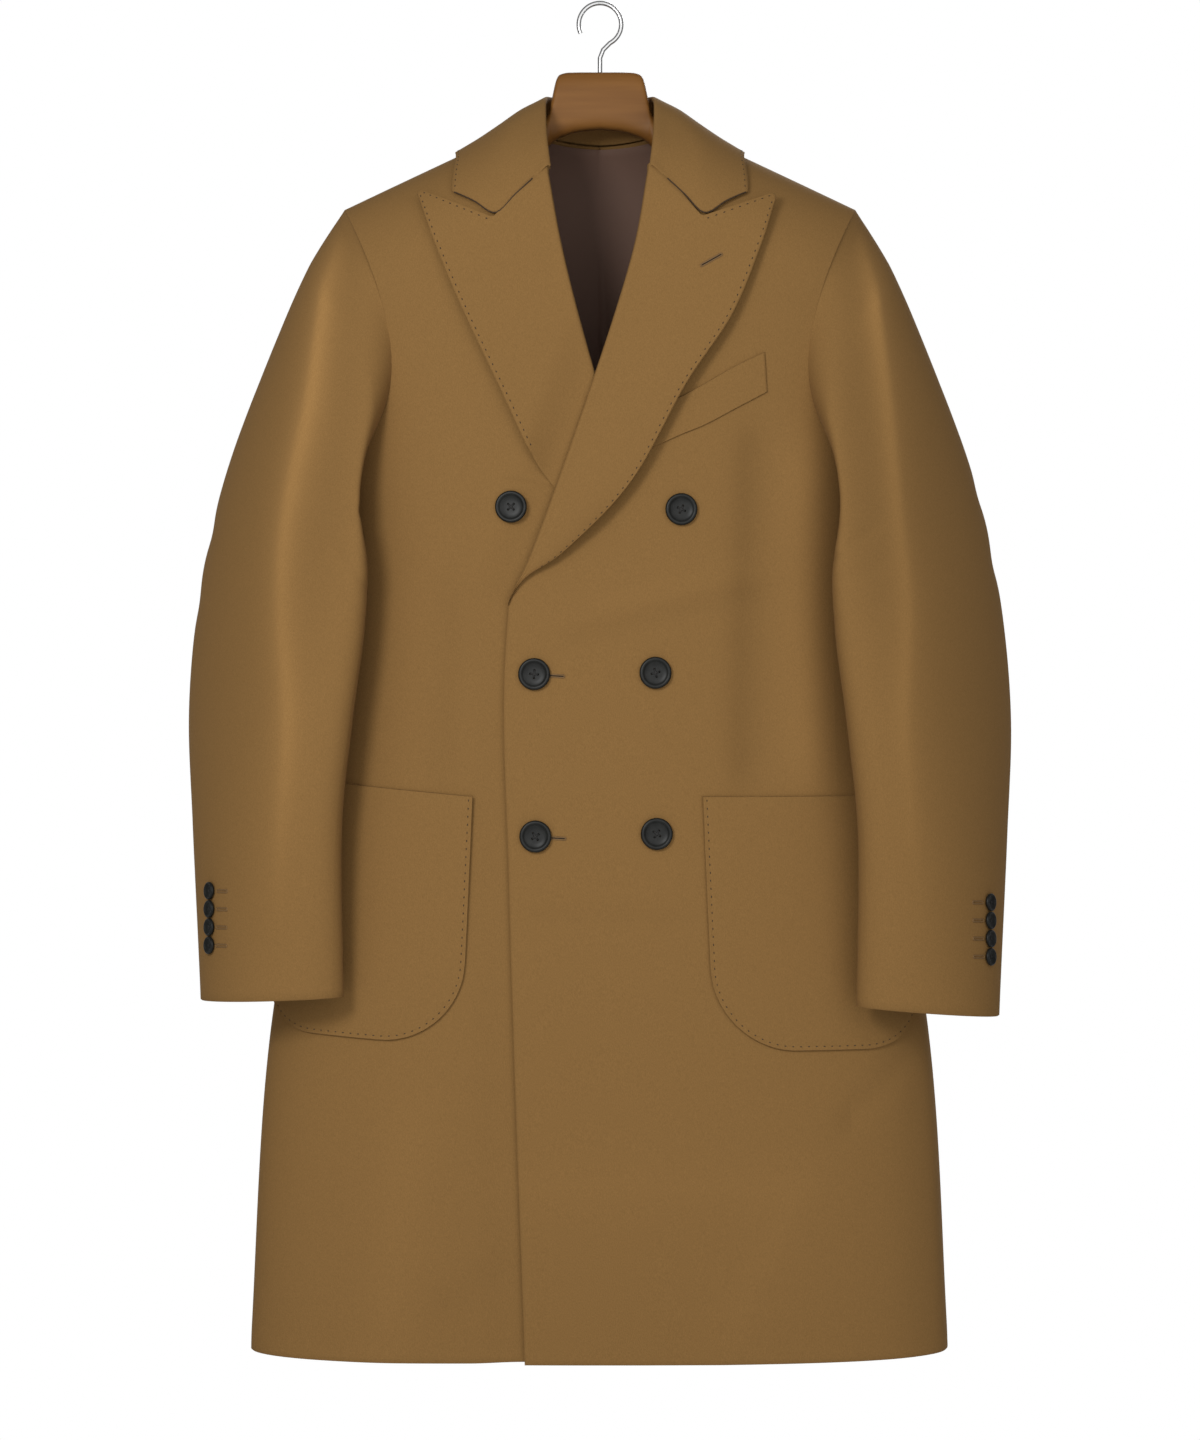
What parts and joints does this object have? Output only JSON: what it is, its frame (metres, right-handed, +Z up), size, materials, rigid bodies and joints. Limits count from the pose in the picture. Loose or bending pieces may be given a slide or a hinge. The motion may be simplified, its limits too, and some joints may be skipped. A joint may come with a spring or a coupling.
{
  "type": "chesterfield coat on a hanger",
  "caption": "Hollow knee-length double-breasted wool coat with peak lapels, patch pockets and set-in sleeves, buttoned, hanging on a wooden hanger with a steel hook.",
  "frame": {"origin": "inner top of the hanger's hook, where a rail carries it", "axes": "+Z up along the coat's length, -Y out of the coat's front, +X to the right of a viewer who faces the front"},
  "size_m": [0.6592, 0.1991, 1.0758],
  "materials": {
    "wool": "felted camel wool with a soft nap",
    "lining": "smooth dark brown lining",
    "button": "satin dark horn",
    "wood": "satin stained wood",
    "steel": "polished wire"
  },
  "bodies": {
    "root": {"front_over": "wool", "front_under": "wool", "side_left": "wool", "side_right": "wool", "back_left": "wool", "back_right": "wool", "sleeve_top_left": "wool", "sleeve_top_right": "wool", "sleeve_under_left": "wool", "sleeve_under_right": "wool", "collar": "wool", "lapel_over": "wool", "lapel_under": "wool", "breast_welt": "wool", "pocket_left": "wool", "pocket_right": "wool", "lining_back": "lining", "button_front_1": "button", "button_front_2": "button", "button_front_3": "button", "button_front_4": "button", "button_front_5": "button", "button_front_6": "button", "button_cuff_left_1": "button", "button_cuff_left_2": "button", "button_cuff_left_3": "button", "button_cuff_left_4": "button", "button_cuff_right_1": "button", "button_cuff_right_2": "button", "button_cuff_right_3": "button", "button_cuff_right_4": "button", "hanger": "wood", "hanger_hook": "steel"}
  },
  "joints": []
}
